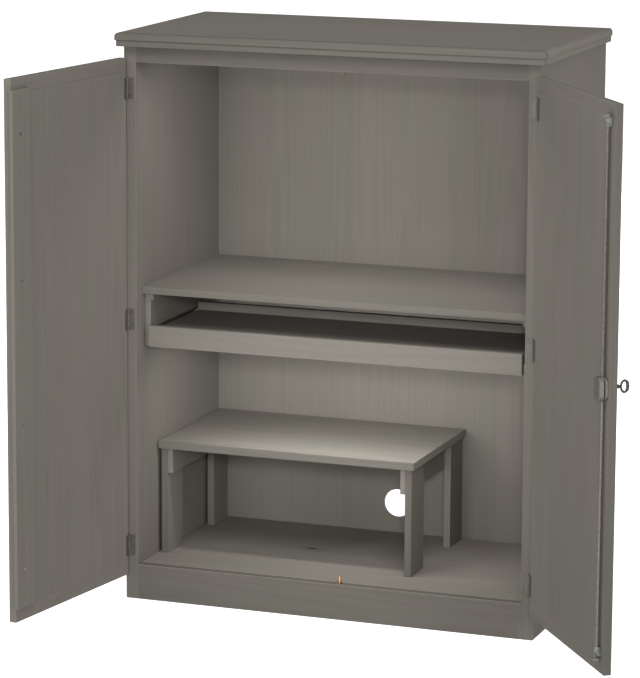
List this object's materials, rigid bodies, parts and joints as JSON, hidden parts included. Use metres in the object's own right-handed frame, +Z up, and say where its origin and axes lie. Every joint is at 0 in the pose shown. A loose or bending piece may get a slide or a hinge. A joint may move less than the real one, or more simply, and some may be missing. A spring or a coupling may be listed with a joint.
{
  "type": "computer armoire",
  "caption": "Upright computer cupboard with two wide-opening doors, a monitor shelf, a roller-slide keyboard tray, a loose printer stand and a rod lock with key.",
  "frame": {"origin": "on the floor, in the middle of the carcase's front plane", "axes": "+X to the viewer's right along the width, +Y from the front to the back, +Z up"},
  "size_m": [1.4015, 1.0306, 1.362],
  "materials": {
    "greywashed_pine": "matte grey-taupe stain, grain just showing",
    "dark_bronze": "dark bronze lacquer, satin",
    "slide_brown_enamel": "brown epoxy enamel, satin",
    "keep_brass": "dull coppery brass",
    "lock_case_steel": "nickel-plated steel, satin",
    "guide_zinc": "bright zinc, satin",
    "rod_steel": "dark burnished steel",
    "antique_iron": "antiqued dark metal, worn at the edges",
    "roller_nylon": "off-white nylon"
  },
  "bodies": {
    "cabinet": {"left_side_panel": "greywashed_pine", "right_side_panel": "greywashed_pine", "top_slab": "greywashed_pine", "back_panel": "greywashed_pine", "top_front_rail": "greywashed_pine", "top_rear_rail": "greywashed_pine", "plinth_front_board": "greywashed_pine", "plinth_rear_rail": "greywashed_pine", "floor_panel": "greywashed_pine", "monitor_shelf": "greywashed_pine", "left_shelf_ledger": "greywashed_pine", "right_shelf_ledger": "greywashed_pine", "left_slide_hanger": "greywashed_pine", "right_slide_hanger": "greywashed_pine", "left_slide_channel": "slide_brown_enamel", "right_slide_channel": "slide_brown_enamel", "left_hinge_frame_leaves": "dark_bronze", "right_hinge_frame_leaves": "dark_bronze", "lower_keep": "keep_brass", "upper_keep": "keep_brass"},
    "left_door": {"left_door_panel": "greywashed_pine", "left_door_top_rail": "greywashed_pine", "left_door_bottom_rail": "greywashed_pine", "closing_batten": "greywashed_pine", "left_hinge_door_leaves": "dark_bronze"},
    "right_door": {"right_door_panel": "greywashed_pine", "right_door_top_rail": "greywashed_pine", "right_door_bottom_rail": "greywashed_pine", "right_hinge_door_leaves": "dark_bronze", "lock_case": "lock_case_steel", "rod_guides": "guide_zinc", "key_escutcheon": "antique_iron"},
    "lock_rods": {"lower_lock_rod": "rod_steel", "upper_lock_rod": "rod_steel", "lock_rod_wheel": "rod_steel"},
    "lock_hub": {"lock_hub": "rod_steel"},
    "key": {"key": "antique_iron"},
    "keyboard_tray": {"tray_panel": "greywashed_pine", "tray_fascia": "greywashed_pine", "tray_rear_lip": "greywashed_pine", "tray_left_rail": "greywashed_pine", "tray_right_rail": "greywashed_pine", "left_tray_runner": "slide_brown_enamel", "right_tray_runner": "slide_brown_enamel"},
    "printer_stand": {"stand_top": "greywashed_pine", "stand_left_front_leg": "greywashed_pine", "stand_left_rear_leg": "greywashed_pine", "stand_right_front_leg": "greywashed_pine", "stand_right_rear_leg": "greywashed_pine", "stand_left_rail": "greywashed_pine", "stand_right_rail": "greywashed_pine"},
    "left_front_roller": {"left_front_roller": "roller_nylon"},
    "right_front_roller": {"right_front_roller": "roller_nylon"},
    "left_rear_roller": {"left_rear_roller": "roller_nylon"},
    "right_rear_roller": {"right_rear_roller": "roller_nylon"}
  },
  "joints": [
    {"name": "left_door_swing", "type": "hinge", "parent": "cabinet", "child": "left_door", "pos_m": [-0.498, -0.0028, 0.68], "axis": [0, 0, -1], "range_deg": [-97.9, 30.1]},
    {"name": "right_door_swing", "type": "hinge", "parent": "cabinet", "child": "right_door", "pos_m": [0.498, -0.0028, 0.68], "axis": [0, 0, 1], "range_deg": [-125.7, 2.3]},
    {"name": "tray_slide", "type": "slide", "parent": "cabinet", "child": "keyboard_tray", "axis": [0, -1, 0], "range_m": [0, 0.225]},
    {"name": "key_turn", "type": "hinge", "parent": "right_door", "child": "lock_hub", "pos_m": [0.78234, -0.36628, 0.69], "axis": [0.8121, 0.5835, 0], "range_deg": [-90, 0]},
    {"name": "lock_rods_turn", "type": "hinge", "parent": "right_door", "child": "lock_rods", "pos_m": [0.7688, -0.39251, 0.69], "axis": [0, 0, 1], "range_deg": [-90, 0]},
    {"name": "key_withdraw", "type": "slide", "parent": "lock_hub", "child": "key", "axis": [0.8121, 0.5835, 0], "range_m": [0, 0.045]},
    {"name": "stand_slide", "type": "slide", "parent": "cabinet", "child": "printer_stand", "axis": [0, -1, 0], "range_m": [0, 0.56]},
    {"name": "left_front_roller_spin", "type": "hinge", "parent": "cabinet", "child": "left_front_roller", "pos_m": [-0.4588, 0.065, 0.6277], "axis": [1, 0, 0], "range_deg": [0, 1518]},
    {"name": "left_rear_roller_spin", "type": "hinge", "parent": "keyboard_tray", "child": "left_rear_roller", "pos_m": [-0.4557, 0.3225, 0.645], "axis": [-1, 0, 0], "range_deg": [0, 1518]},
    {"name": "right_front_roller_spin", "type": "hinge", "parent": "cabinet", "child": "right_front_roller", "pos_m": [0.4588, 0.065, 0.6277], "axis": [1, 0, 0], "range_deg": [0, 1518]},
    {"name": "right_rear_roller_spin", "type": "hinge", "parent": "keyboard_tray", "child": "right_rear_roller", "pos_m": [0.4557, 0.3225, 0.645], "axis": [-1, 0, 0], "range_deg": [0, 1518]}
  ],
  "couplings": [
    {"joint": "lock_rods_turn", "follows": "key_turn", "ratio": 1},
    {"joint": "left_front_roller_spin", "follows": "tray_slide", "rad_per_m": 117.65},
    {"joint": "left_rear_roller_spin", "follows": "tray_slide", "rad_per_m": 117.65},
    {"joint": "right_front_roller_spin", "follows": "tray_slide", "rad_per_m": 117.65},
    {"joint": "right_rear_roller_spin", "follows": "tray_slide", "rad_per_m": 117.65}
  ]
}
